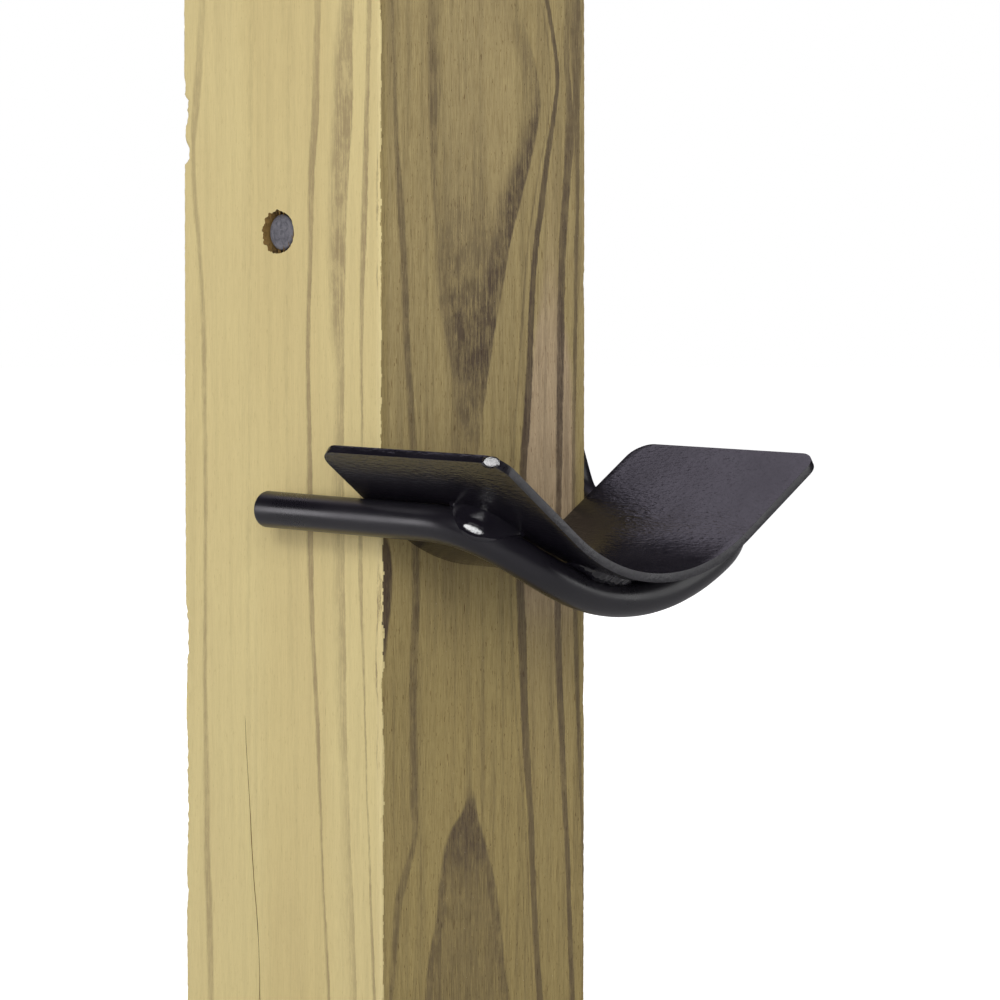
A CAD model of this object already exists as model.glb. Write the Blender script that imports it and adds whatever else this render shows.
"""Looks for the swinging gate rest on its post: wood, black paint, welds, studio light and camera."""
import random
from math import asin, cos, pi, radians, sin, sqrt, tan

import bmesh
import bpy
from mathutils import Matrix, Vector, noise


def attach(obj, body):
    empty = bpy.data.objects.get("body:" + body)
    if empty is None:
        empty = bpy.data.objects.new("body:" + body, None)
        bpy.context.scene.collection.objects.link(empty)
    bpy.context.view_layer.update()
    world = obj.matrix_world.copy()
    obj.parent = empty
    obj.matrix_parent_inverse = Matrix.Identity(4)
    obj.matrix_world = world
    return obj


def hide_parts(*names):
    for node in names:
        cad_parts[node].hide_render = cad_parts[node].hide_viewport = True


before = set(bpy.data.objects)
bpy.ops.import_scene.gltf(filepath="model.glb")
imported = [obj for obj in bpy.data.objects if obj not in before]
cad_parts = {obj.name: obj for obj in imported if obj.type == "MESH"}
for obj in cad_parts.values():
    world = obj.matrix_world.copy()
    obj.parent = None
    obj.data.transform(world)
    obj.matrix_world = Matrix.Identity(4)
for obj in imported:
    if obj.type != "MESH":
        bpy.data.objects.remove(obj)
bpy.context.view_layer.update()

# Camera, in metres
AIM_AZIMUTH = radians(-45.456)
AIM_ELEVATION = radians(2.252)
CAMERA_AT = Vector((-0.8403, -0.8778, 0.2077))

# The post and the cradle, in millimetres, as in the frame
HALF = 44.45
LENGTH = 318.0
PIN_Z = 243.0
HOLE_RADIUS = 7.0
BAR = 5.556
LEG_X = 53.456
LEFT_BEND = 27.5
RIGHT_BEND = 13.5
RISER_BEND = 14.0
PIN_BEND = 11.1
FREE_END_Y = -7.8
RISER_FOOT_Y = -38.5
PIN_CORNER_X = 56.5
PIN_END_X = -43.5
PLATE = 2.66
PLATE_BACK_Y = -47.49
PLATE_FRONT_Y = -122.19
PLATE_CORNER = 7.0
WING_TOP_X = 69.28
WING_TOP_Z = -63.2
SLOPE = radians(35.14)
TROUGH_RADIUS = 63.3
OVERHANG = 14.9
DROOP = radians(1.608)
ROLL = radians(0.885)
EDGE_ROUND = 0.45
GAP = 0.3
POST_ROWS = 318
POST_END_ROUND = 0.35
HOLE_SHIFT_Y = 0.3
HOLE_FLATTENED = 0.94

TROUGH_Z = WING_TOP_Z + (TROUGH_RADIUS - WING_TOP_X * sin(SLOPE)) / cos(SLOPE)
DIP_RADIUS = TROUGH_RADIUS + PLATE + GAP + BAR
DIP_Y = PLATE_FRONT_Y + OVERHANG
LEG_Z = TROUGH_Z + (LEG_X * sin(SLOPE) - DIP_RADIUS) / cos(SLOPE)
ROLLED = Matrix.Rotation(ROLL, 4, "Y")
CRADLE = Matrix.Translation((0, 0, PIN_Z)) @ Matrix.Rotation(DROOP, 4, "X")
MM = 0.001

# The way a face has to look to throw the key light's glint into the camera
GLINT = Vector((-0.80, -0.555, 0.23)).normalized()

# Height that the lamps point at, in metres
LIT_HEIGHT = 0.18

# Order of the post's materials: the -Y, +X, +Y and -X faces, the two ends, the hole's inside
FRONT, RIGHT, BACK, LEFT, ENDS, HOLE = range(6)


def add_camera():
    data = bpy.data.cameras.new("camera")
    data.sensor_width = 36
    data.lens = 139.22
    camera = bpy.data.objects.new("camera", data)
    bpy.context.scene.collection.objects.link(camera)
    across, level = cos(AIM_ELEVATION), sin(AIM_ELEVATION)
    back = Vector((sin(AIM_AZIMUTH) * across, -cos(AIM_AZIMUTH) * across, level))
    right = Vector((cos(AIM_AZIMUTH), sin(AIM_AZIMUTH), 0))
    turn = Matrix((right, back.cross(right), back)).transposed().to_4x4()
    camera.matrix_world = Matrix.Translation(CAMERA_AT) @ turn
    bpy.context.scene.camera = camera


# ---- shader graphs


class Graph:
    """A material's node tree, with short calls that add a node and give back its output."""

    def __init__(self, name):
        self.material = bpy.data.materials.new(name)
        self.material.use_nodes = True
        self.tree = self.material.node_tree
        self.shader = self.tree.nodes["Principled BSDF"]

    def put(self, socket, value):
        if isinstance(value, bpy.types.NodeSocket):
            self.tree.links.new(value, socket)
        elif isinstance(value, tuple) and len(value) == 3 and socket.type == "RGBA":
            socket.default_value = (*value, 1.0)
        else:
            socket.default_value = value

    def math(self, operation, *values, clamp=False):
        node = self.tree.nodes.new("ShaderNodeMath")
        node.operation = operation
        node.use_clamp = clamp
        for socket, value in zip(node.inputs, values):
            self.put(socket, value)
        return node.outputs[0]

    def add(self, a, b):
        return self.math("ADD", a, b)

    def sub(self, a, b):
        return self.math("SUBTRACT", a, b)

    def mul(self, a, b):
        return self.math("MULTIPLY", a, b)

    def step(self, value, low, high, to_low=0.0, to_high=1.0):
        """Smooth change from to_low to to_high as value goes from low to high."""
        node = self.tree.nodes.new("ShaderNodeMapRange")
        node.interpolation_type = "SMOOTHSTEP"
        for name, given in (("Value", value), ("From Min", low), ("From Max", high),
                            ("To Min", to_low), ("To Max", to_high)):
            self.put(node.inputs[name], given)
        return node.outputs[0]

    def mix(self, factor, a, b, blend="MIX"):
        node = self.tree.nodes.new("ShaderNodeMix")
        node.data_type = "RGBA"
        node.blend_type = blend
        node.clamp_factor = True
        self.put(node.inputs[0], factor)
        self.put(node.inputs[6], a)
        self.put(node.inputs[7], b)
        return node.outputs[2]

    def wash(self, factor, colour, stain):
        """The colour with a stain multiplied over it where factor is high."""
        return self.mix(factor, colour, self.mix(1.0, colour, stain, "MULTIPLY"))

    def join(self, x, y, z):
        node = self.tree.nodes.new("ShaderNodeCombineXYZ")
        for socket, value in zip(node.inputs, (x, y, z)):
            self.put(socket, value)
        return node.outputs[0]

    def place(self):
        """Object coordinates in millimetres, as three values."""
        coordinates = self.tree.nodes.new("ShaderNodeTexCoord")
        parts = self.tree.nodes.new("ShaderNodeSeparateXYZ")
        self.tree.links.new(coordinates.outputs["Object"], parts.inputs[0])
        return [self.mul(parts.outputs[axis], 1000.0) for axis in range(3)]

    def noise(self, vector, scale=1.0, detail=2.0, rough=0.5, distortion=0.0):
        node = self.tree.nodes.new("ShaderNodeTexNoise")
        self.put(node.inputs["Vector"], vector)
        for socket, value in (("Scale", scale), ("Detail", detail), ("Roughness", rough),
                              ("Distortion", distortion)):
            node.inputs[socket].default_value = value
        return node.outputs[0]

    def streaks(self, u, z, per_mm_u, per_mm_z, seed=0.0, detail=2.0, rough=0.5):
        """Noise drawn out along the grain, about 0.5 on average."""
        drawn = self.join(self.mul(u, per_mm_u), seed, self.mul(z, per_mm_z))
        return self.noise(drawn, 1.0, detail, rough)

    def curve(self, value, points):
        """Smooth curve through (place, height) points, all between 0 and 1."""
        node = self.tree.nodes.new("ShaderNodeFloatCurve")
        line = node.mapping.curves[0]
        points = sorted(points)
        line.points[0].location = points[0]
        line.points[1].location = points[-1]
        for place in points[1:-1]:
            line.points.new(*place)
        for point in line.points:
            point.handle_type = "AUTO"
        node.mapping.update()
        self.put(node.inputs["Value"], value)
        return node.outputs[0]

    def bump(self, height, distance, strength=1.0):
        node = self.tree.nodes.new("ShaderNodeBump")
        node.inputs["Strength"].default_value = strength
        node.inputs["Distance"].default_value = distance
        self.put(node.inputs["Height"], height)
        return node.outputs[0]

    def finish(self, colour, roughness, normal):
        self.put(self.shader.inputs["Base Color"], colour)
        self.put(self.shader.inputs["Roughness"], roughness)
        self.put(self.shader.inputs["Normal"], normal)
        return self.material


def tone(red, green, blue):
    """A colour given as it looks on a screen, 0 to 255, as linear values."""
    shares = (red / 255, green / 255, blue / 255)
    return tuple(((share + 0.055) / 1.055) ** 2.4 for share in shares)


# ---- meshes


def bridge(shape, rings, caps=()):
    """Quads between neighbouring rings of vertices, then a cap on each ring named by its index."""
    faces = []
    for ring_a, ring_b in zip(rings, rings[1:]):
        for index, vert in enumerate(ring_a):
            following = (index + 1) % len(ring_a)
            faces.append(shape.faces.new((vert, ring_a[following], ring_b[following], ring_b[index])))
    return faces + [shape.faces.new(rings[cap]) for cap in caps]


def to_mesh(shape, name, outward=True):
    if outward:
        bmesh.ops.recalc_face_normals(shape, faces=shape.faces)
    mesh = bpy.data.meshes.new(name)
    shape.to_mesh(mesh)
    shape.free()
    return mesh


def add_object(name, mesh, materials):
    item = bpy.data.objects.new(name, mesh)
    bpy.context.scene.collection.objects.link(item)
    for material in materials:
        mesh.materials.append(material)
    return item


def apply_modifiers(item):
    """Keep the shape that the modifiers give, as plain mesh."""
    bpy.context.view_layer.update()
    evaluated = item.evaluated_get(bpy.context.evaluated_depsgraph_get())
    mesh = bpy.data.meshes.new_from_object(evaluated)
    item.modifiers.clear()
    item.data = mesh


# ---- wood

# A band of late wood: for heights in mm, its left and right edge across the face in mm, and how
# dark it is there; then how soft its left and right edges are, in mm.
FRONT_BANDS = (
    dict(soft=(1.6, 1.2), dark=0.78, fine=0.5, rows=(
        (318, -40.3, -38.2, .6), (290, -39.6, -37.6, .7), (270, -39, -36.6, .8), (250, -37.6, -34.2, .9),
        (230, -36, -32.8, .9), (210, -34.8, -31.8, .9), (190, -33.5, -30.2, .9), (180, -32.6, -29, .8),
        (140, -31.6, -28, .9), (100, -32.6, -29.4, .9), (70, -32.2, -28.8, .8), (60, -31.7, -29, .8),
        (50, -35.6, -32, .8), (40, -39, -35.5, .7), (30, -40, -37, .7), (0, -42.5, -40, .6))),
    dict(soft=(1.2, 1.2), dark=0.45, fine=0.7, rows=(
        (318, -37.2, -36, .4), (270, -35.3, -34.4, .5), (240, -32, -31, .5), (200, -29.7, -28.6, .6),
        (160, -27, -26, .5), (120, -27.6, -26.8, .5), (80, -27, -26, .5), (0, -33, -31, .4))),
    # the tall cathedral: its soft left edge, its long shaded inside and its sharp right edge
    dict(soft=(2.2, 3.0), dark=0.72, fine=0.55, rows=(
        (318, -25.5, -17.5, .3), (300, -24.5, -19, .6), (285, -24.5, -18.6, .9), (270, -24, -19.6, .7),
        (250, -22.6, -19, .7), (240, -21.7, -16.6, .8), (220, -20, -14, .9), (205, -16, -9, 1),
        (190, -14, -9, .8), (176, -14.5, -10, .4), (165, -14, -12, 0), (0, -14, -12, 0))),
    dict(soft=(9.0, 0.9), dark=0.95, fine=0.62, rows=(
        (318, 4, 13, .15), (310, 7, 16, .25), (300, 12, 20.4, .4), (290, 17, 23.6, .6),
        (284, 18.6, 24.5, .8), (276, 17, 23.3, 1), (266, 12, 20.4, 1), (258, 8, 17.6, 1),
        (250, 3.6, 14.7, 1), (240, 1, 11.2, 1), (230, -3, 8.7, 1), (220, -8, 6.3, 1), (210, -15, 3.9, 1),
        (200, -14.6, 1.8, 1), (194, -14, .6, .9), (186, -12, -1.4, .7), (176, -9, -2.6, .45),
        (165, -8, -3.4, .1), (150, -7, -4, 0), (0, -7, -4, 0))),
    dict(soft=(7.0, 6.0), dark=0.9, fine=0.7, rows=(
        (318, -16, -2, 0), (290, -18, -2, .1), (262, -20, 2, .22), (245, -20, 5, .5), (230, -19.6, 5, .72),
        (215, -18.4, 4, 1), (203, -15.6, 1.4, 1), (194, -14.4, 0, .95), (184, -13.6, -2, .75),
        (172, -12.4, -4, .5), (150, -11, -6, .1), (130, -10, -7, 0), (0, -10, -7, 0))),
    dict(soft=(0.8, 0.5), dark=0.95, fine=0.25, rows=(
        (318, 25, 27, .8), (300, 30, 31.9, .9), (292, 31, 32.9, .9), (280, 29.2, 31.4, .9),
        (270, 27, 29.4, .9), (260, 25, 27.5, .9), (250, 23.2, 26, .95), (240, 21.2, 23.9, .95),
        (230, 19.8, 22.4, .95), (220, 18.8, 21.7, 1), (210, 18.2, 21, 1), (200, 17.6, 20.6, 1),
        (190, 16.8, 20, 1), (180, 15.8, 19.4, 1), (172, 15, 18.5, .95), (137, 13.4, 17, .85),
        (120, 14, 18, .8), (100, 15, 18.8, .8), (80, 16.6, 20, .75), (60, 18.8, 21.5, .75),
        (40, 19.8, 22.5, .75), (20, 21.2, 24, .7), (0, 23.2, 26.4, .7))),
    dict(soft=(0.5, 0.7), dark=0.6, fine=0.5, rows=(
        (318, 22.4, 23.4, .4), (300, 27.6, 28.6, .5), (285, 28.2, 29, .5), (260, 22.6, 23.6, .6),
        (240, 18.4, 19.4, .7), (220, 16, 17.2, .7), (200, 14.2, 15.4, .7), (180, 12, 13.4, .6),
        (137, 10.6, 11.8, .5), (100, 12.4, 13.5, .5), (60, 16.8, 17.8, .5), (0, 20.8, 21.8, .4))),
    dict(soft=(1.0, 0.6), dark=0.95, fine=0.35, rows=(
        (318, 35.6, 38.4, .4), (295, 35, 37.6, .55), (288, 35.6, 38.4, .7), (275, 35.4, 39.6, .8),
        (262, 34.6, 38.2, .9), (250, 33.4, 37, .9), (240, 32.5, 36.2, .9), (220, 31.7, 35.3, .95),
        (200, 31.4, 35, 1), (180, 31.2, 34.5, 1), (160, 31.2, 34, .9), (127, 30.4, 33.6, .85),
        (110, 30.8, 34.2, .85), (90, 32.3, 35.4, .85), (70, 33.5, 36.3, .8), (50, 35.4, 38, .8),
        (30, 36.5, 38.8, .8), (0, 37.8, 40.2, .8))),
    dict(soft=(0.7, 0.5), dark=0.85, fine=0.35, rows=(
        (318, 40, 43.6, .3), (300, 39.4, 43, .6), (284, 38.8, 42, .8), (260, 40.2, 42, .7),
        (240, 39.6, 41.3, .8), (200, 39.1, 40.9, .85), (160, 38.6, 40.2, .8), (125, 39, 41.2, .8),
        (100, 40, 42, .8), (80, 41.3, 43, .8), (50, 43, 44.4, .7), (0, 44, 45.4, .5))),
    dict(soft=(1.5, 1.5), dark=0.75, fine=0.5, rows=(
        (318, 37.6, 42.6, .9), (300, 38, 43, .9), (290, 39, 42.4, .6), (282, 40, 41.6, .1),
        (0, 40, 41.6, 0))),
    # the low flame, dark at its tip and round its two sides
    dict(soft=(1.8, 1.8), dark=0.9, fine=0.45, rows=(
        (318, -7, -6, 0), (78, -7, -6, 0), (70, -8.4, -4, .75), (66, -10.5, -3.6, 1), (60, -15.6, -1.4, 1),
        (54, -18, .8, .95), (48, -19, 2.8, .8), (44, -20, 4.2, .66), (36, -21.4, 5.6, .56),
        (20, -25, 8, .5), (0, -27.6, 12, .45))),
    dict(soft=(1.2, 4.0), dark=0.72, fine=0.6, rows=(
        (318, -19, -16, 0), (60, -16, -12, 0), (52, -18.6, -12.5, .8), (44, -20, -14, 1),
        (34, -21.6, -15.6, 1), (24, -24.4, -18.4, 1), (12, -26, -20.6, .9), (0, -27.6, -22, .8))),
    dict(soft=(4.0, 1.2), dark=0.72, fine=0.6, rows=(
        (318, 3, 6, 0), (56, -3, .4, 0), (50, -3.4, 2.4, .8), (42, -.8, 5, 1), (34, 1, 6.4, 1),
        (22, 3, 8.2, 1), (10, 5, 10, .9), (0, 7, 12, .8))),
    # the violet stain beside the near corner
    dict(soft=(1.0, 1.4), dark=1.0, fine=0.2, rows=(
        (318, -46, -45.5, 0), (158, -46, -44, 0), (151, -46, -41.6, .8), (143, -46, -39.4, 1),
        (132, -46, -39.6, 1), (122, -46, -41, .95), (113, -46, -42.6, .5), (107, -46, -44, 0),
        (0, -46, -45, 0))),
)
LEFT_BANDS = (
    dict(soft=(1.3, 1.3), dark=0.55, fine=0.5, rows=(
        (318, 33.8, 36.6, .5), (295, 35.2, 39, .7), (283, 36.6, 40.6, .9), (270, 38.8, 41, .9),
        (255, 38, 40.6, .9), (240, 36.2, 38.3, .9), (220, 34.5, 37, .9), (200, 33.8, 36.1, 1),
        (100, 33.8, 36, 1), (70, 33.2, 35.9, 1), (50, 32.8, 35.8, 1), (30, 31.5, 35, 1),
        (0, 31.4, 34.2, .9))),
    dict(soft=(0.6, 1.2), dark=0.75, fine=0.4, rows=(
        (318, -19.4, -16.2, .6), (300, -18.5, -15.4, .7), (280, -18, -14.6, .8), (260, -16, -13, .9),
        (240, -15.1, -12.8, .9), (215, -14, -12, 1), (180, -14.3, -12, 1), (150, -15, -12, 1),
        (130, -15.5, -13, .9), (110, -16.5, -14.5, .9), (90, -18, -16, .9), (70, -18.8, -17.3, .9),
        (50, -19.4, -18.3, .9), (30, -20.8, -19.4, .9), (0, -22.8, -21.4, .9))),
    dict(soft=(0.5, 5.5), dark=0.72, fine=0.6, rows=(
        (318, -34, -28.6, .8), (300, -33.1, -25, .9), (280, -32.8, -23.6, 1), (260, -31.1, -22.5, 1),
        (245, -30, -22, 1), (225, -29.4, -22, .95), (210, -29, -23, .85), (200, -29, -24.6, .8),
        (180, -28.6, -24, .75), (140, -29, -24, .75), (120, -29.5, -24.5, .75), (90, -29.9, -26, .75),
        (70, -31, -28, .7), (50, -32, -28.6, .7), (30, -33.1, -29.5, .7), (0, -34.4, -32, .7))),
    dict(soft=(0.5, 0.9), dark=0.8, fine=0.5, rows=(
        (318, -41.2, -39, .7), (290, -40.5, -38.4, .8), (260, -39.5, -37, .9), (240, -38.7, -36, .9),
        (220, -37.5, -35.5, .9), (180, -37, -36, .8), (150, -36.6, -34.6, .8), (120, -37.3, -36, .8),
        (90, -38.3, -37.5, .8), (60, -39.6, -38.8, .8), (40, -40.7, -39.4, .8), (0, -43.2, -41.4, .8))),
    dict(soft=(0.4, 0.5), dark=0.9, fine=0.9, rows=(
        (318, -44, -43.6, 0), (266, -43.6, -43.1, .2), (258, -43.6, -42.9, 1), (244, -43.6, -43, .9),
        (236, -43.7, -43.3, .1), (229, -43.5, -42.9, .9), (222, -43.7, -43.2, .1), (152, -43.7, -43.2, .1),
        (140, -43.9, -42.9, .9), (130, -44, -42.8, 1), (120, -43, -42.4, .5), (110, -43, -42.1, .9),
        (98, -43.4, -43, .1), (86, -43.2, -42.6, .8), (76, -43.6, -43.2, 0), (0, -43.6, -43.2, 0))),
    dict(soft=(2.5, 2.5), dark=0.28, fine=0.9, rows=(
        (318, 10, 14, .5), (260, 12, 15, .7), (200, 12.5, 15, .6), (150, 13, 15.5, .6), (90, 14, 16, .5),
        (0, 8.6, 11, .5))),
    dict(soft=(2.5, 2.5), dark=0.25, fine=0.9, rows=(
        (318, -6, -3, .5), (250, -5, -2.4, .6), (190, -4, -1.6, .6), (120, -6, -4, .5), (60, -8, -6, .5),
        (0, -11, -8, .6))),
)


# Wide soft changes of colour: the tint, then rows and softness as in a band
FRONT_TINTS = (
    (tone(190, 168, 136), (
        (318, 34, 36, 0), (250, 27, 32, .1), (225, 24, 33, .5), (205, 20, 38, .9), (180, 17, 40, 1),
        (150, 16, 40, 1), (128, 16, 40, .6), (110, 18, 40, .15), (0, 20, 40, 0)), (4, 4)),
    (tone(176, 158, 112), (
        (318, -18, 10, .7), (270, -18, 14, .6), (240, -16, 6, .5), (215, -14, 2, 0),
        (0, -14, 2, 0)), (6, 6)),
    (tone(160, 142, 92), (
        (318, -50, -41.6, .8), (160, -50, -41, .8), (100, -50, -41.5, .8), (0, -50, -42, .8)), (2, 2)),
    (tone(226, 208, 152), (
        (318, -50, -44.2, .9), (270, -50, -43.9, .9), (256, -50, -44.3, .9), (232, -50, -43.8, 1),
        (200, -50, -44.3, .9), (152, -50, -44.2, 1), (140, -50, -43.4, 1), (126, -50, -43.0, 1),
        (112, -50, -43.5, 1), (96, -50, -43.7, 1), (84, -50, -42.9, 1), (70, -50, -43.6, 1),
        (40, -50, -43.4, 1), (0, -50, -43.6, 1)), (.3, .4)),
)
LEFT_TINTS = (
    (tone(222, 206, 152), (
        (318, -46, -43.2, .5), (200, -46, -42.8, .6), (100, -46, -42.6, .6), (0, -46, -43, .5)), (.5, .9)),
    (tone(200, 180, 124), (
        (318, -26, 20, .4), (200, -24, 12, .2), (100, -24, 10, .3), (0, -24, 10, .4)), (12, 12)),
)


def band_mask(g, u, height, band):
    """How strongly a band darkens the wood here, 0 to 1."""
    edges = []
    for column in (1, 2):
        points = [(max(0.0, row[0] / LENGTH), (row[column] + 50) / 100) for row in band["rows"]]
        edges.append(g.sub(g.mul(g.curve(height, points), 100.0), 50.0))
    strength = g.curve(height, [(max(0.0, row[0] / LENGTH), min(1.0, row[3])) for row in band["rows"]])
    soft_left, soft_right = band["soft"]
    inside = g.step(g.sub(u, edges[0]), -soft_left * 0.35, soft_left * 0.65)
    outside = g.step(g.sub(u, edges[1]), -soft_right * 0.65, soft_right * 0.35, 1.0, 0.0)
    return g.mul(g.mul(inside, outside), strength)


def face_wood(name, axis, bands, tints, base, shaded, dark, seed, broad_share, fibre_share):
    """Long-grain face. axis is the direction across it; its colour goes from shaded up to base."""
    g = Graph(name)
    parts = g.place()
    u, z = parts[axis], parts[2]
    height = g.math("DIVIDE", z, LENGTH, clamp=True)
    sway = g.mul(g.sub(g.streaks(u, z, 0.09, 0.022, seed, 3.0), 0.5), 1.6)
    jitter = g.mul(g.sub(g.streaks(u, z, 1.9, 0.22, seed + 3, 4.0, 0.75), 0.5), 1.9)
    bent = g.add(u, g.add(sway, jitter))
    fibre = g.streaks(u, z, 4.2, 0.13, seed + 7, 4.0, 0.78)
    hair = g.streaks(u, z, 7.5, 0.4, seed + 11, 3.0, 0.7)
    broad = g.streaks(bent, z, 0.33, 0.009, seed + 17, 3.0, 0.6)
    patch = g.streaks(u, z, 0.05, 0.02, seed + 23, 2.0)
    colour = g.mix(g.step(height, 0.28, 0.62), shaded, base)
    for tint, rows, soft in tints:
        colour = g.mix(band_mask(g, bent, height, dict(rows=rows, soft=soft)), colour, tint)
    colour = g.mix(g.step(broad, 0.4, 0.75, 0.0, broad_share), colour, dark)
    colour = g.wash(g.step(patch, 0.3, 0.75, 0.0, 0.2), colour, (0.86, 0.82, 0.84))
    lines = g.streaks(bent, z, 1.5, 0.03, seed + 41, 3.0, 0.75)
    cloud = g.streaks(u, z, 0.22, 0.12, seed + 53, 4.0, 0.7)
    torn = g.add(g.mul(lines, 0.34), g.add(g.mul(fibre, 0.24), g.mul(hair, 0.12)))
    torn = g.add(torn, g.mul(cloud, 0.3))
    total = None
    for band in bands:
        mask = band_mask(g, bent, height, band)
        ragged = g.step(torn, 0.43, 0.55, 1.0 - band["fine"], 1.0)
        depth = g.mul(g.mul(mask, ragged), band["dark"])
        total = depth if total is None else g.math("MAXIMUM", total, depth)
    colour = g.mix(total, colour, dark)
    # fine fibres, a little lighter and darker, and short dark pores
    colour = g.wash(g.step(fibre, 0.44, 0.7, 0.0, fibre_share), colour, (0.66, 0.62, 0.56))
    colour = g.wash(g.step(hair, 0.56, 0.74, 0.0, fibre_share), colour, (0.6, 0.55, 0.48))
    bright = g.mix(1.0, colour, (1.16, 1.16, 1.14), "MULTIPLY")
    colour = g.mix(g.step(fibre, 0.5, 0.28, 0.0, fibre_share * 1.6), colour, bright)
    thread = g.streaks(u, z, 2.2, 0.1, seed + 43, 3.0, 0.8)
    colour = g.wash(g.step(thread, 0.48, 0.68, 0.0, fibre_share), colour, (0.68, 0.63, 0.56))
    colour = g.mix(g.step(thread, 0.47, 0.3, 0.0, fibre_share), colour, bright)
    dashes = g.step(g.streaks(u, z, 1.5, 0.2, seed + 47, 2.0), 0.66, 0.72)
    colour = g.wash(g.mul(dashes, fibre_share * 1.2), colour, (0.5, 0.4, 0.32))
    pores = g.step(g.streaks(u, z, 2.3, 0.5, seed + 31, 1.0), 0.68, 0.74)
    colour = g.wash(g.mul(pores, fibre_share * 1.5), colour, (0.5, 0.42, 0.34))
    flecks = g.step(g.streaks(u, z, 2.4, 1.3, seed + 37, 1.0), 0.74, 0.79)
    colour = g.mix(g.mul(flecks, 0.35), colour, (0.75, 0.68, 0.5))
    relief = g.add(g.mul(fibre, 0.5), g.add(g.mul(hair, 0.35), g.mul(total, -0.25)))
    normal = g.bump(relief, 0.00032, 0.55)
    return g.finish(colour, g.step(total, 0.0, 1.0, 0.78, 0.66), normal)


def ring_wood(name, base, dark, seed, along_grain):
    """Wood cut anywhere in the log: growth rings about a pith off to one side of the post."""
    g = Graph(name)
    x, y, z = g.place()
    wobble = g.noise(g.join(g.mul(x, 0.02), g.mul(y, 0.02), g.mul(z, 0.004)), 1.0, 3.0)
    side = g.add(x, g.add(26.0, g.mul(g.sub(wobble, 0.5), 26.0)))
    depth = g.add(y, g.add(118.0, g.mul(z, 0.035)))
    radius = g.math("SQRT", g.add(g.mul(side, side), g.mul(depth, depth)))
    drift = g.noise(g.join(g.mul(radius, 0.055), seed, 0.0), 1.0, 2.0)
    ring = g.math("FRACT", g.mul(g.add(radius, g.mul(drift, 30.0)), 0.1))
    late = g.mul(g.step(ring, 0.35, 0.93), g.step(ring, 0.94, 1.0, 1.0, 0.0))
    if along_grain:
        across = g.add(x, y)
        grain = g.streaks(across, z, 3.1, 0.085, seed, 4.0, 0.7)
        hair = g.streaks(across, z, 7.5, 0.3, seed + 5, 3.0, 0.7)
    else:
        grain = g.noise(g.join(g.mul(x, 2.4), g.mul(y, 2.4), 0.0), 1.0, 4.0, 0.7)
        hair = g.noise(g.join(g.mul(x, 0.25), g.mul(y, 3.2), 4.0), 1.0, 3.0, 0.6)
    colour = g.mix(g.mul(late, g.step(grain, 0.3, 0.6, 0.3, 0.8)), base, dark)
    colour = g.wash(g.step(grain, 0.4, 0.7, 0.0, 0.4), colour, (0.7, 0.65, 0.58))
    colour = g.wash(g.step(hair, 0.52, 0.74, 0.0, 0.4), colour, (0.62, 0.57, 0.5))
    relief = g.add(g.mul(grain, 0.6), g.add(g.mul(hair, 0.5), g.mul(late, -0.2)))
    return g.finish(colour, g.step(late, 0.0, 1.0, 0.82, 0.7), g.bump(relief, 0.0004, 0.6))


# Depth of wear at each corner of the post, mm, at heights in mm
CORNER_WEAR = {
    (-1, 1): (
        (0, .6), (30, .4), (37, 1), (42, .4), (54, .9), (62, 1.2), (72, 1), (84, 1.1), (92, .4), (108, .9),
        (114, 1.5), (122, 1.3), (128, .4), (190, .3), (240, .4), (262, .5), (265.4, .6), (266.4, 2.6),
        (270, 2.5), (272.5, .9), (277, 1), (279.5, 2.1), (285, 1.8), (287, .6), (289.5, .9), (293, .4),
        (318, .5)),
    (-1, -1): (
        (0, .5), (60, .4), (84, .6), (88, 1), (92, .5), (104, .8), (114, .9), (122, .6), (128, 1.1),
        (138, 1.2), (152, .5), (200, .3), (224, .5), (230, .9), (236, .4), (244, .8), (262, .7), (270, .3),
        (318, .4)),
    (1, -1): (
        (0, .4), (90, .3), (96, .7), (104, .4), (220, .3), (228, .6), (236, .3), (300, .4), (318, .5)),
    (1, 1): (
        (0, .7), (60, .4), (66, 1.4), (74, 1.1), (80, .4), (180, .5), (188, 1.2), (196, .5), (318, .6)),
}


def along(points, place):
    """Straight-line reading of a list of (place, value)."""
    for (a, value_a), (b, value_b) in zip(points, points[1:]):
        if place <= b:
            return value_a + (value_b - value_a) * (place - a) / (b - a)
    return points[-1][1]


def post_columns():
    """Corners and sides of the post's section: (x, y) in mm, going round, close together at corners."""
    side = [0, .25, .5, .8, 1.2, 1.7, 2.3, 3, 4, 6, 9, 13, 18, 24, 30, 37]
    side = side + [HALF] + [2 * HALF - value for value in reversed(side[1:])]
    corners = [(-1, -1), (1, -1), (1, 1), (-1, 1)]
    columns = []
    for (ax, ay), (bx, by) in zip(corners, corners[1:] + corners[:1]):
        for value in side:
            part = value / (2 * HALF)
            columns.append((HALF * (ax + (bx - ax) * part), HALF * (ay + (by - ay) * part)))
    return columns


def worn(x, y, z):
    """The place of a point of the post's skin once corner wear is taken off."""
    for (cx, cy), wear in CORNER_WEAR.items():
        rough = noise.noise(Vector((cx * 9.0, cy * 7.0, z * 0.45))) * 0.5
        rough += noise.noise(Vector((cx * 3.0, cy * 5.0, z * 1.7))) * 0.35
        bite = max(0.25, along(wear, z) * (1 + rough))
        dx, dy = HALF - x * cx, HALF - y * cy
        if dx + dy < bite * 1.5:
            off = max(0.0, bite - dx - dy) * 0.5 + 0.04 * bite
            x -= cx * off
            y -= cy * off
    return x, y


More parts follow.
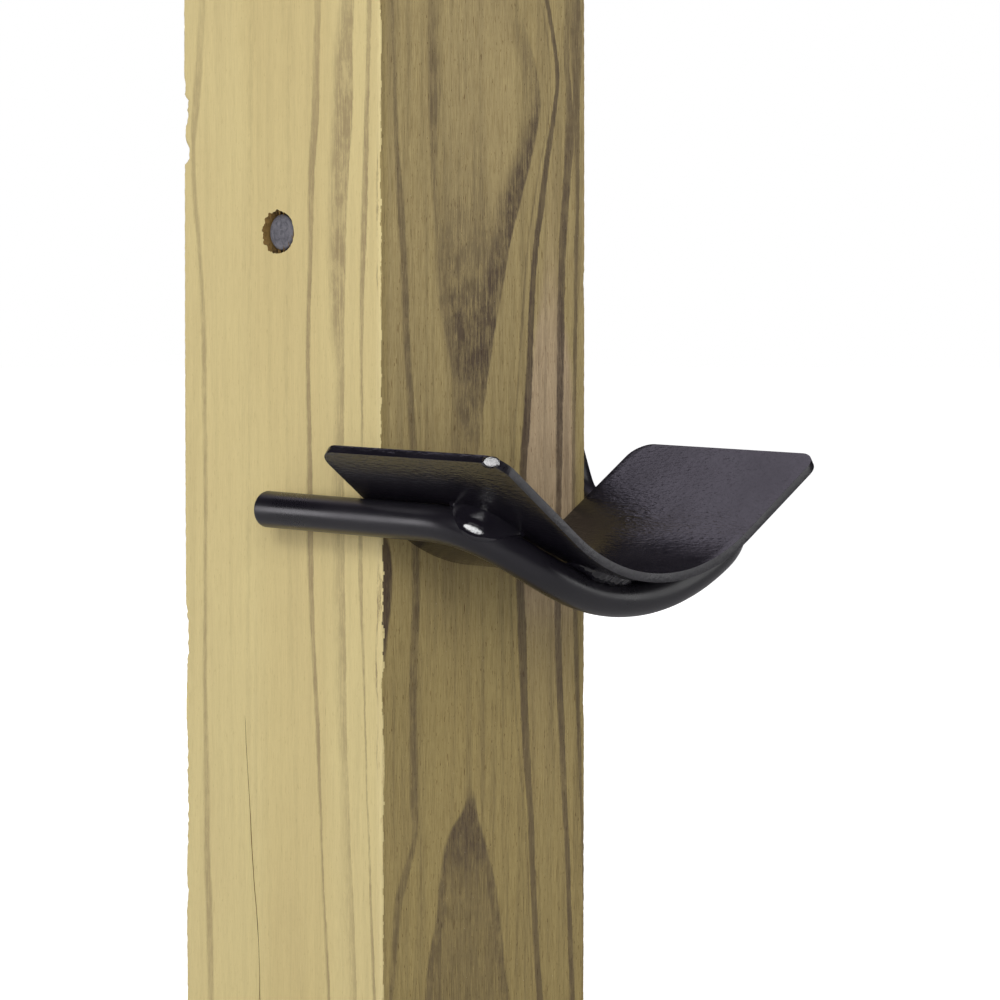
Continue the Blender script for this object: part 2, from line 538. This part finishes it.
def splintered(height):
    """How far the left face's pale wood reaches round the near corner, in mm; more below the cradle."""
    slow = noise.noise(Vector((0.3, height * 0.16, 2.0)))
    quick = noise.noise(Vector((1.7, height * 0.9, 5.0)))
    return 0.25 + 0.9 * slow + 0.45 * quick + (0.55 if height < 155 else 0.0)


def post_shell():
    """The post's skin, in metres, going round from the front face, with one material per side."""
    shape = bmesh.new()
    columns = post_columns()
    rows = [LENGTH * step / POST_ROWS for step in range(POST_ROWS + 1)]
    rings = []
    for z in rows:
        end = POST_END_ROUND if z in (rows[0], rows[-1]) else 0.0
        scale = 1 - end / HALF
        ring = []
        for x, y in columns:
            px, py = worn(x, y, z)
            ring.append(shape.verts.new((px * scale * MM, py * scale * MM, z * MM)))
        rings.append(ring)
    for index, face in enumerate(bridge(shape, rings)):
        column = index % len(columns)
        face.material_index = column * 4 // len(columns)
        x, y = columns[column][0] + HALF, columns[column][1] + HALF
        chip = splintered(face.verts[0].co.z / MM)
        if face.material_index == FRONT and x < chip:
            face.material_index = LEFT
        elif face.material_index == LEFT and y < -chip - 0.4:
            face.material_index = FRONT
    for ring, flip in ((rings[0], True), (rings[-1], False)):
        face = shape.faces.new(list(reversed(ring)) if flip else ring)
        face.material_index = ENDS
    return to_mesh(shape, "post_shell", outward=False)


def cutter_mesh(shape, rings, name):
    """Closed solid that cuts the post, in the hole's material."""
    bridge(shape, rings, caps=(0, -1))
    for face in shape.faces:
        face.material_index = HOLE
    return to_mesh(shape, name)


def ragged_hole():
    """Cutter for the drilled hole: not quite round, and torn open where the drill broke the faces."""
    shape = bmesh.new()
    segments = 96
    places = [-46, -44.9, -44.3, -43.7, -43, -42, -40, -30, 0, 30, 40, 43, 44.3, 46]
    rings = []
    for x in places:
        ring = []
        for step in range(segments):
            angle = 2 * pi * step / segments
            y, z = cos(angle), sin(angle)
            torn = max(0.0, 1 - (HALF - abs(x)) / 1.8)
            chew = abs(noise.noise(Vector((y * 3.2, z * 3.2, x * 0.02)))) * 1.4
            chew += abs(noise.noise(Vector((y * 9, z * 9, 5.0)))) * 0.7
            side = 0.8 + 0.5 * y
            radius = HOLE_RADIUS - 0.25 + torn * chew * side
            radius += 0.12 * noise.noise(Vector((y * 6, z * 6, x * 0.3)))
            y, z = radius * y + HOLE_SHIFT_Y, PIN_Z + radius * z * HOLE_FLATTENED
            ring.append(shape.verts.new((x * MM, y * MM, z * MM)))
        rings.append(ring)
    return cutter_mesh(shape, rings, "hole")


# Season check down the -X face: (height, place across the face, width) in mm
CHECK_LEFT = (
    (94, 16.4, .05), (92, 16.2, .16), (85, 15.8, .2), (78, 15.2, .2), (70, 14.5, .22), (62, 13.8, .34),
    (56, 13.5, .4), (50, 13, .36), (44, 12.4, .3), (40, 12, .34), (34, 11.2, .3), (30, 10.8, .34),
    (25, 10.4, .2), (22, 10.2, .18), (14, 9.9, .2), (8, 9.8, .32), (-1, 9.6, .36),
)


def check_cutter(points, depth):
    """Narrow wedge down the -X face."""
    shape = bmesh.new()
    rings = []
    for z, y, width in points:
        y += 0.12 * noise.noise(Vector((3.0, z * 0.4, 1.0)))
        ring = []
        for dx, dy in ((-1.0, -width * 0.9), (-1.0, width * 0.9), (0.0, width * 0.5), (depth, 0.03),
                       (depth, -0.03), (0.0, -width * 0.5)):
            ring.append(shape.verts.new(((dx - HALF) * MM, (y + dy) * MM, z * MM)))
        rings.append(ring)
    return cutter_mesh(shape, rings, "check")


def make_post():
    """The post with its hole and season check; gives back the wood of the hole's inside."""
    front = face_wood("wood_front", 0, FRONT_BANDS, FRONT_TINTS, tone(174, 156, 108), tone(165, 147, 96),
                      tone(80, 65, 52), seed=1.0, broad_share=0.4, fibre_share=0.8)
    left = face_wood("wood_left", 1, LEFT_BANDS, LEFT_TINTS, tone(216, 199, 142), tone(217, 201, 144),
                     tone(132, 112, 80), seed=51.0, broad_share=0.12, fibre_share=0.2)
    right = ring_wood("wood_right", tone(190, 172, 122), tone(116, 98, 66), 91.0, True)
    back = ring_wood("wood_back", tone(186, 168, 118), tone(112, 95, 64), 131.0, True)
    ends = ring_wood("wood_end", tone(196, 176, 124), tone(122, 100, 64), 171.0, False)
    hole = ring_wood("wood_hole", tone(128, 102, 58), tone(44, 32, 20), 201.0, True)
    materials = (front, right, back, left, ends, hole)
    post = add_object("post_timber", post_shell(), materials)
    cutters = []
    for mesh in (ragged_hole(), check_cutter(CHECK_LEFT, 2.4)):
        cutter = add_object("cutter", mesh, materials)
        cut = post.modifiers.new("cut", "BOOLEAN")
        cut.operation = "DIFFERENCE"
        cut.solver = "EXACT"
        cut.object = cutter
        cutters.append(cutter)
    apply_modifiers(post)
    for cutter in cutters:
        bpy.data.objects.remove(cutter, do_unlink=True)
    post.data.shade_smooth()
    post.data.set_sharp_from_angle(angle=radians(32))
    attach(post, "post")
    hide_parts("timber_post")
    return hole


def torn_fibres(material):
    """Short splinters round the hole's edge on the -X face."""
    rng = random.Random(11)
    shape = bmesh.new()
    for step in range(46):
        angle = rng.uniform(-1.9, 2.0) if step % 4 else rng.uniform(2.0, 4.2)
        radius = HOLE_RADIUS + rng.uniform(-0.1, 0.7)
        y, z = cos(angle) * radius + HOLE_SHIFT_Y, sin(angle) * radius * HOLE_FLATTENED + PIN_Z
        length = rng.uniform(0.8, 2.6)
        lean = rng.uniform(-0.35, 0.35) - cos(angle) * 0.5
        width = rng.uniform(0.12, 0.3)
        up = -1 if sin(angle) > 0 else 1
        x = -HALF + rng.uniform(0.05, 0.5)
        root = [Vector((x + 0.25, y - width, z)), Vector((x + 0.25, y + width, z)), Vector((x - 0.05, y, z))]
        tip = Vector((x + rng.uniform(-0.15, 0.5), y + lean * length, z + up * length))
        middle = [point.lerp(tip, 0.5) + Vector((rng.uniform(-0.1, 0.1), 0, 0)) for point in root]
        verts = [shape.verts.new(point * MM) for point in root + middle + [tip]]
        for a in range(3):
            b = (a + 1) % 3
            shape.faces.new((verts[a], verts[b], verts[3 + b], verts[3 + a]))
            shape.faces.new((verts[3 + a], verts[3 + b], verts[6]))
        shape.faces.new((verts[2], verts[1], verts[0]))
    fibres = add_object("post_torn_fibres", to_mesh(shape, "torn_fibres"), (material,))
    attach(fibres, "post")


# ---- black paint


def black_paint(name, ripple=0.0, specks=0.0, rough=0.24, peel=0.5, worn_edge=False):
    """Thick glossy black paint: orange peel, drawn-out ripples, a few grains of dust, thin on edges."""
    g = Graph(name)
    x, y, z = g.place()
    spot = g.join(x, y, z)
    skin = g.noise(spot, 0.55, 3.0, 0.55)
    fine = g.noise(spot, 2.6, 2.0, 0.5)
    waves = g.noise(g.join(g.mul(x, 1.15), g.mul(y, 0.32), g.mul(z, 1.15)), 1.0, 2.0, 0.6)
    cloud = g.noise(spot, 0.045, 3.0, 0.55)
    grit = g.step(g.noise(spot, 1.9, 1.0, 0.5), 0.74, 0.80)
    relief = g.add(g.mul(skin, peel), g.add(g.mul(fine, 0.1 * peel), g.mul(waves, ripple)))
    relief = g.add(relief, g.mul(grit, specks))
    colour = g.mix(g.step(cloud, 0.3, 0.7), (0.0052, 0.0045, 0.0072), (0.0085, 0.0074, 0.0108))
    colour = g.mix(g.mul(grit, specks), colour, (0.07, 0.07, 0.075))
    if worn_edge:
        scuff = g.step(g.noise(spot, 1.3, 3.0, 0.7), 0.42, 0.62)
        colour = g.mix(g.mul(scuff, 0.25), colour, (0.045, 0.043, 0.052))
    roughness = g.add(g.step(cloud, 0.3, 0.7, rough - 0.05, rough + 0.06), g.mul(g.sub(fine, 0.5), 0.12))
    g.shader.inputs["IOR"].default_value = 1.6
    return g.finish(colour, roughness, g.bump(relief, 0.0003, 0.5))


def bare_end(name):
    """The pin's sawn end: dull steel with cutting marks and thin scuffed paint."""
    g = Graph(name)
    x, y, z = g.place()
    dy, dz = y, g.sub(z, PIN_Z)
    spot = g.join(x, y, z)
    blot = g.noise(spot, 0.42, 4.0, 0.65, 1.2)
    radius = g.math("SQRT", g.add(g.mul(dy, dy), g.mul(dz, dz)))
    swirl = g.noise(g.join(g.mul(radius, 2.2), g.mul(blot, 3.0), 0.0), 1.0, 3.0, 0.6)
    colour = g.mix(g.step(blot, 0.3, 0.7), (0.075, 0.075, 0.088), (0.13, 0.127, 0.142))
    colour = g.mix(g.step(swirl, 0.5, 0.75, 0.0, 0.35), colour, (0.2, 0.195, 0.21))
    rough = g.step(blot, 0.3, 0.7, 0.62, 0.4)
    g.shader.inputs["Metallic"].default_value = 0.25
    return g.finish(colour, rough, g.bump(g.add(blot, g.mul(swirl, 0.4)), 0.0003, 0.5))


# Rim of a sawn end: each ring's share of the bar's radius, and its place along the axis in mm
BAR_RIM = ((1.0, -0.55), (0.985, -0.25), (0.955, -0.08), (0.91, 0.0), (0.6, 0.02), (0.25, 0.0))
BAR_SEGMENTS = 40


def bar_height(x):
    """Height of the bar's centreline against the trough's underside, pin's frame."""
    if abs(x) < DIP_RADIUS * sin(SLOPE):
        return TROUGH_Z - sqrt(DIP_RADIUS ** 2 - x ** 2)
    return LEG_Z - (LEG_X - abs(x)) * tan(SLOPE)


def bend_point(side, radius, angle):
    """A point of a leg's bend into the dip: round in plan, and lying against the trough's underside."""
    x = side * (LEG_X - radius * (1 - cos(angle)))
    return Vector((x, DIP_Y + radius * (1 - sin(angle)), bar_height(x)))


def towards_plate(x):
    """Direction square to the trough's underside, into it, above the bar at x."""
    angle = asin(max(-sin(SLOPE), min(sin(SLOPE), x / DIP_RADIUS)))
    return Vector((-sin(angle), 0, cos(angle)))


def bend_corners(corners, radii, turn_step):
    """Round each inner corner of a path of straight runs with an arc of the given radius."""
    path = [corners[0]]
    for before, corner, after, radius in zip(corners, corners[1:], corners[2:], radii):
        back = (before - corner).normalized()
        ahead = (after - corner).normalized()
        half_turn = (pi - back.angle(ahead)) / 2
        start = corner + back * radius * tan(half_turn)
        centre = corner + (back + ahead).normalized() * radius / cos(half_turn)
        axis = (start - centre).cross(corner - centre).normalized()
        steps = max(6, round(2 * half_turn / turn_step))
        for step in range(steps + 1):
            turn = Matrix.Rotation(2 * half_turn * step / steps, 3, axis)
            path.append(centre + turn @ (start - centre))
    path.append(corners[-1])
    return path


def bar_path():
    """Points of the bar's centreline, from the free end of the left leg to the end of the pin."""
    quarter = [pi / 2 * step / 30 for step in range(31)]
    left = [bend_point(-1, LEFT_BEND, angle) for angle in quarter]
    right = [bend_point(1, RIGHT_BEND, angle) for angle in reversed(quarter)]
    dip = []
    for step in range(1, 36):
        x = left[-1].x + (right[0].x - left[-1].x) * step / 36
        dip.append(Vector((x, DIP_Y, bar_height(x))))
    cradle = [Vector((-LEG_X, FREE_END_Y, LEG_Z)), *left, *dip, *right]
    cradle = [ROLLED @ point for point in cradle]
    riser_foot = ROLLED @ Vector((LEG_X, RISER_FOOT_Y, LEG_Z))
    corners = [cradle[-1], riser_foot, Vector((PIN_CORNER_X, 0, 0)), Vector((PIN_END_X, 0, 0))]
    return cradle[:-1] + bend_corners(corners, [RISER_BEND, PIN_BEND], radians(4))


def spread(path, spacing):
    """Add points to long straight runs, so that faces stay near square."""
    dense = [path[0]]
    for a, b in zip(path, path[1:]):
        count = max(1, round((b - a).length / spacing))
        dense += [a.lerp(b, step / count) for step in range(1, count + 1)]
    return dense


def smooth_path(path, rounds):
    """Ease the turn at each point, so that a bend starts and ends gradually."""
    for _ in range(rounds):
        path = [path[0]] + [(a + 2 * b + c) / 4 for a, b, c in zip(path, path[1:], path[2:])] + [path[-1]]
    return path


def tube(shape, path, radius_at, segments, matrix):
    """Open skin of a round bar along path, as its rings. radius_at(index, angle) is in mm."""
    tangents = []
    for index in range(len(path)):
        a, b = path[max(0, index - 1)], path[min(len(path) - 1, index + 1)]
        tangents.append((b - a).normalized())
    normal = tangents[0].orthogonal().normalized()
    rings = []
    for index, (centre, tangent) in enumerate(zip(path, tangents)):
        normal = (normal - tangent * normal.dot(tangent)).normalized()
        other = tangent.cross(normal)
        ring = []
        for step in range(segments):
            angle = 2 * pi * step / segments
            point = centre + (normal * cos(angle) + other * sin(angle)) * radius_at(index, angle)
            ring.append(shape.verts.new(matrix @ point * MM))
        rings.append(ring)
    bridge(shape, rings)
    return rings


def close_end(shape, ring, axis, reach):
    """Flat sawn end with a small rounded rim, made of shrinking rings; reach is how far out, in mm."""
    centre = sum((vert.co for vert in ring), Vector()) / len(ring)
    rings = [ring]
    for share, out in BAR_RIM:
        out_by = axis * (out + reach) * MM
        rings.append([shape.verts.new(centre + (vert.co - centre) * share + out_by) for vert in ring])
    return bridge(shape, rings, caps=(-1,))


def make_bar(paint, steel):
    """The bent bar, painted except for the flat of the pin's end."""
    shape = bmesh.new()
    path = smooth_path(spread(bar_path(), 1.6), 6)

    def radius_at(index, angle):
        return BAR - 0.02 + 0.02 * noise.noise(Vector((index * 0.09, cos(angle), sin(angle))))

    rings = tube(shape, path[1:-1], radius_at, BAR_SEGMENTS, CRADLE)
    turn = CRADLE.to_3x3()
    free_end, pin_end = path[0] - path[1], path[-1] - path[-2]
    close_end(shape, rings[0], (turn @ free_end).normalized(), free_end.length)
    pin_faces = close_end(shape, rings[-1], (turn @ pin_end).normalized(), pin_end.length)
    for face in pin_faces[2 * BAR_SEGMENTS:]:
        face.material_index = 1
    mesh = to_mesh(shape, "bar")
    mesh.shade_smooth()
    mesh.set_sharp_from_angle(angle=radians(50))
    bar = add_object("cradle_bar", mesh, (paint, steel))
    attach(bar, "cradle")
    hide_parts("support_rod")


def trough_section():
    """(x, z, distance from a wing's end) across the trough's inner surface."""
    wing = (WING_TOP_X - TROUGH_RADIUS * sin(SLOPE)) / cos(SLOPE)
    quarter = [radians(90) * step / 14 for step in range(15)]
    distances = [PLATE_CORNER * (1 - cos(angle)) for angle in quarter]
    distances += [PLATE_CORNER + (wing - PLATE_CORNER) * step / 14 for step in range(1, 14)]
    left = [(-WING_TOP_X + d * cos(SLOPE), WING_TOP_Z - d * sin(SLOPE), d) for d in distances]
    arc = 48
    bottom = []
    for step in range(arc + 1):
        angle = SLOPE * (2 * step / arc - 1)
        bottom.append((TROUGH_RADIUS * sin(angle), TROUGH_Z - TROUGH_RADIUS * cos(angle), wing))
    right = [(-x, z, d) for x, z, d in reversed(left)]
    return left + bottom + right


def make_plate(paint, edge_paint):
    """The trough: its inner surface, thickened downwards, with rounded edges."""
    shape = bmesh.new()
    rows = []
    across = 26
    for x, z, distance in trough_section():
        beyond = max(0.0, PLATE_CORNER - distance)
        inset = PLATE_CORNER - sqrt(max(0.0, PLATE_CORNER ** 2 - beyond ** 2))
        front, back = PLATE_FRONT_Y + inset, PLATE_BACK_Y - inset
        row = []
        for step in range(across + 1):
            y = front + (back - front) * step / across
            row.append(shape.verts.new(CRADLE @ (ROLLED @ Vector((x, y, z))) * MM))
        rows.append(row)
    for row_a, row_b in zip(rows, rows[1:]):
        for index in range(across):
            shape.faces.new((row_a[index], row_b[index], row_b[index + 1], row_a[index + 1]))
    plate = add_object("cradle_trough", to_mesh(shape, "plate", outward=False), (paint, edge_paint))
    thicken = plate.modifiers.new("thickness", "SOLIDIFY")
    thicken.thickness = PLATE * MM
    thicken.offset = -1
    thicken.use_even_offset = True
    rounded = plate.modifiers.new("edges", "BEVEL")
    rounded.width = EDGE_ROUND * MM
    rounded.segments = 4
    rounded.limit_method = "ANGLE"
    rounded.angle_limit = radians(50)
    apply_modifiers(plate)
    forward = CRADLE.to_3x3() @ (ROLLED.to_3x3() @ Vector((0, -1, 0)))
    for face in plate.data.polygons:
        if abs(face.normal.dot(forward)) > 0.3:
            face.material_index = 1
    plate.data.shade_smooth()
    plate.data.set_sharp_from_angle(angle=radians(60))
    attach(plate, "cradle")
    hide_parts("cradle_plate")


def bead(name, node, stations, reach, wrap, rise, seed, paint, ripples, flat=None, crumple=1.0, taper=0.5):
    """Lumpy fillet weld between bar and plate. A station is (bar centre, outward, towards plate).

    reach is how far the bead spreads on the plate and rise how far it bulges, in mm; wrap is how far
    round the bar it comes. ripples, crumple and taper set its waves, its roughness and how its ends
    fade; flat presses it towards a plane, as in flattened.
    """
    shape = bmesh.new()
    rings = []
    count = len(stations) - 1
    steps = 14
    for index, (centre, outward, to_plate) in enumerate(stations):
        part = index / count
        size = sin(pi * (0.015 + 0.97 * part)) ** taper
        lump = 0.22 * noise.noise(Vector((seed, part * 7.0, 0.0)))
        lump += 0.1 * noise.noise(Vector((seed, part * 19.0, 4.0)))
        wave = abs(sin(part * pi * ripples + 0.5 * noise.noise(Vector((seed, part * 5, 9.0)))))
        size *= 1 + lump * crumple
        ring = []
        foot_angle = radians(90) - wrap * min(1.0, size) ** 1.2
        foot = Vector((cos(foot_angle), sin(foot_angle))) * (BAR - 0.12)
        toe = Vector((BAR * (0.4 + 0.6 * min(1.0, size)) + reach * size, BAR + GAP + 0.12))
        for step in range(steps + 1):
            t = step / steps
            base = foot.lerp(toe, t)
            bulge = sin(pi * t) ** 0.8 * (rise * size + 0.22 * crumple * wave * sin(pi * t))
            bulge += 0.12 * crumple * noise.noise(Vector((seed + 3, part * 23.0, t * 3.0))) * sin(pi * t)
            slant = Vector((toe.y - foot.y, foot.x - toe.x)).normalized()
            if base.length < BAR:
                base = base.normalized() * BAR
                slant = base.normalized()
            base = base + slant * bulge
            ring.append(base)
        ring += [Vector((BAR * 0.75, BAR + GAP + 0.3)), Vector((BAR * 0.3, BAR * 0.8))]
        places = [centre + outward * p.x + to_plate * p.y for p in ring]
        places = [CRADLE @ (ROLLED @ place) for place in places]
        if flat:
            places = [flattened(place, flat) for place in places]
        rings.append([shape.verts.new(place * MM) for place in places])
    bridge(shape, rings, caps=(0, -1))
    mesh = to_mesh(shape, name)
    mesh.shade_smooth()
    mesh.set_sharp_from_angle(angle=radians(70))
    weld = add_object(name, mesh, (paint,))
    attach(weld, "cradle")
    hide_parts(node)


def flattened(place, flat):
    """Press a point back towards a plane, given as (point on it, its normal, share of height kept)."""
    origin, normal, keep = flat
    above = (place - origin).dot(normal)
    if above <= 0:
        return place
    rough = 0.05 * noise.noise(place * 0.4) + 0.012 * noise.noise(place * 1.5)
    return place - normal * above * (1 - keep) + normal * rough * min(1.0, above * 2)


def front_stations(start, end, steps):
    """Stations along the front of the dip, between two places across the trough."""
    stations = []
    for step in range(steps + 1):
        x = start + (end - start) * step / steps
        stations.append((Vector((x, DIP_Y, bar_height(x))), Vector((0, -1, 0)), towards_plate(x)))
    return stations


def bend_stations(side, radius, first, last, steps):
    """Stations round the outside of a leg's bend; side is -1 for left, 1 for right."""
    stations = []
    for step in range(steps + 1):
        angle = first + (last - first) * step / steps
        centre = bend_point(side, radius, angle)
        run = bend_point(side, radius, angle + 0.02) - bend_point(side, radius, angle - 0.02)
        to_plate = towards_plate(centre.x)
        stations.append((centre, to_plate.cross(run).normalized() * side, to_plate))
    return stations


def make_welds(paint):
    bead("weld_bead_front_left", "weld_front_left", front_stations(-29.5, 0, 60),
         reach=3.1, wrap=radians(52), rise=0.35, seed=2.0, paint=paint, ripples=9)
    bead("weld_bead_front_right", "weld_front_right", front_stations(17, 26, 28),
         reach=2.4, wrap=radians(44), rise=0.3, seed=7.0, paint=paint, ripples=4)
    on_bar = CRADLE @ (ROLLED @ bend_point(-1, LEFT_BEND, radians(31)))
    flat = (on_bar + GLINT * (BAR + 0.1), GLINT, 0.2)
    bead("weld_bead_left_bend", "weld_left_bend",
         bend_stations(-1, LEFT_BEND, radians(10), radians(53), 70), reach=0.2, wrap=radians(130),
         rise=0.5, seed=12.0, paint=paint, ripples=1, flat=flat, crumple=0.0, taper=0.75)
    bead("weld_bead_right_bend", "weld_right_bend",
         bend_stations(1, RIGHT_BEND, radians(16), radians(44), 36), reach=3.0, wrap=radians(55),
         rise=0.5, seed=17.0, paint=paint, ripples=5)


def make_paint_lump(paint):
    """Thick drop of paint on the upper front corner of the left wing."""
    shape = bmesh.new()
    bmesh.ops.create_icosphere(shape, subdivisions=5, radius=1.0)
    down_wing = 0.9
    middle = Vector((-WING_TOP_X + down_wing * cos(SLOPE) - 0.5, PLATE_FRONT_Y + 4.3,
                     WING_TOP_Z - down_wing * sin(SLOPE) - 1.4))
    middle = CRADLE @ (ROLLED @ middle)
    for vert in shape.verts:
        point = Vector((vert.co.x * 2.0, vert.co.y * 3.4, vert.co.z * 1.7))
        point *= 1 + 0.1 * noise.noise(vert.co * 1.7 + Vector((4, 2, 7)))
        vert.co = flattened(middle + point, (middle + GLINT, GLINT, 0.05)) * MM
    mesh = to_mesh(shape, "paint_lump", outward=False)
    mesh.shade_smooth()
    lump = add_object("cradle_paint_lump", mesh, (paint,))
    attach(lump, "cradle")


# ---- studio


def add_area(name, direction, distance, width, height, radiance, colour=(1, 1, 1)):
    """Softbox: rectangular light facing the object, of the given radiance. Lengths are in metres."""
    data = bpy.data.lights.new(name, "AREA")
    data.shape = "RECTANGLE"
    data.size = width
    data.size_y = height
    data.energy = radiance * pi * width * height
    data.color = colour
    lamp = bpy.data.objects.new(name, data)
    bpy.context.scene.collection.objects.link(lamp)
    away = Vector(direction).normalized()
    lamp.location = Vector((0, 0, LIT_HEIGHT)) + away * distance
    lamp.rotation_mode = "QUATERNION"
    lamp.rotation_quaternion = away.to_track_quat("Z", "Y")
    return lamp


# World brightness seen in reflections, from straight down at 0 to straight up at 1
SKY = ((0.0, 0.010), (0.5, 0.022), (0.8, 0.06), (0.9, 0.25), (1.0, 0.42))


def add_world():
    """White to the camera, and a dim violet-grey room to everything else."""
    world = bpy.data.worlds.new("studio")
    bpy.context.scene.world = world
    world.use_nodes = True
    nodes, link = world.node_tree.nodes, world.node_tree.links.new
    background = nodes["Background"]
    coordinates = nodes.new("ShaderNodeTexCoord")
    parts = nodes.new("ShaderNodeSeparateXYZ")
    link(coordinates.outputs["Generated"], parts.inputs[0])
    ramp = nodes.new("ShaderNodeValToRGB")
    link(parts.outputs[2], ramp.inputs[0])
    for place, _ in SKY[1:-1]:
        ramp.color_ramp.elements.new(place)
    for element, (_, level) in zip(ramp.color_ramp.elements, SKY):
        element.color = (level, level * 0.92, level * 1.12, 1)
    link(ramp.outputs[0], background.inputs[0])
    white = nodes.new("ShaderNodeBackground")
    white.inputs[0].default_value = (1, 1, 1, 1)
    path = nodes.new("ShaderNodeLightPath")
    choose = nodes.new("ShaderNodeMixShader")
    link(path.outputs["Is Camera Ray"], choose.inputs[0])
    link(background.outputs[0], choose.inputs[1])
    link(white.outputs[0], choose.inputs[2])
    link(choose.outputs[0], nodes["World Output"].inputs[0])


def add_lights():
    """Softboxes that show in the paint, and two fills that light only the wood."""
    add_area("softbox_left", (-0.74, 0.67, 0.0), 1.5, 1.0, 0.62, 3.0, (1, 0.97, 1.02))
    add_area("key", (-0.85, -0.40, 0.42), 2.0, 0.30, 0.30, 18.0)
    add_area("top_back", (0.2, 0.66, 1.1), 1.7, 1.3, 0.8, 0.75, (1, 0.92, 1.12))
    add_area("softbox_right", (0.60, -0.72, 0.28), 1.6, 0.9, 1.3, 1.5)
    fill = add_area("fill", (-0.72, -0.64, 0.25), 2.0, 1.5, 1.5, 4.55)
    far_fill = add_area("far_fill", (0.80, 0.34, 0.45), 2.0, 1.5, 1.5, 2.6)
    for lamp in (fill, far_fill):
        lamp.visible_glossy = False


def add_floor():
    """Wide floor just under the post: white to the camera, grey to everything else."""
    shape = bmesh.new()
    bmesh.ops.create_grid(shape, x_segments=4, y_segments=4, size=30)
    g = Graph("pale_floor")
    g.shader.inputs["Base Color"].default_value = (0.42, 0.42, 0.42, 1)
    g.shader.inputs["Roughness"].default_value = 0.9
    g.shader.inputs["Specular IOR Level"].default_value = 0.0
    g.shader.inputs["Emission Color"].default_value = (1, 1, 1, 1)
    path = g.tree.nodes.new("ShaderNodeLightPath")
    g.put(g.shader.inputs["Emission Strength"], g.step(path.outputs["Is Camera Ray"], 0.0, 1.0, 0.1, 1.0))
    floor = add_object("floor", to_mesh(shape, "floor", outward=False), (g.material,))
    floor.location.z = -0.0005


add_camera()
add_world()
add_lights()
add_floor()
bpy.context.scene.view_settings.view_transform = "Standard"
torn_fibres(make_post())
make_bar(black_paint("paint_bar", rough=0.32, peel=0.12), bare_end("pin_end_steel"))
make_plate(black_paint("paint_plate", ripple=0.8, specks=0.2, rough=0.17, peel=0.4),
           black_paint("paint_plate_edge", specks=0.3, rough=0.3, peel=0.8, worn_edge=True))
make_welds(black_paint("paint_weld", rough=0.12, peel=0.35))
make_paint_lump(black_paint("paint_drop", rough=0.2, peel=0.03))
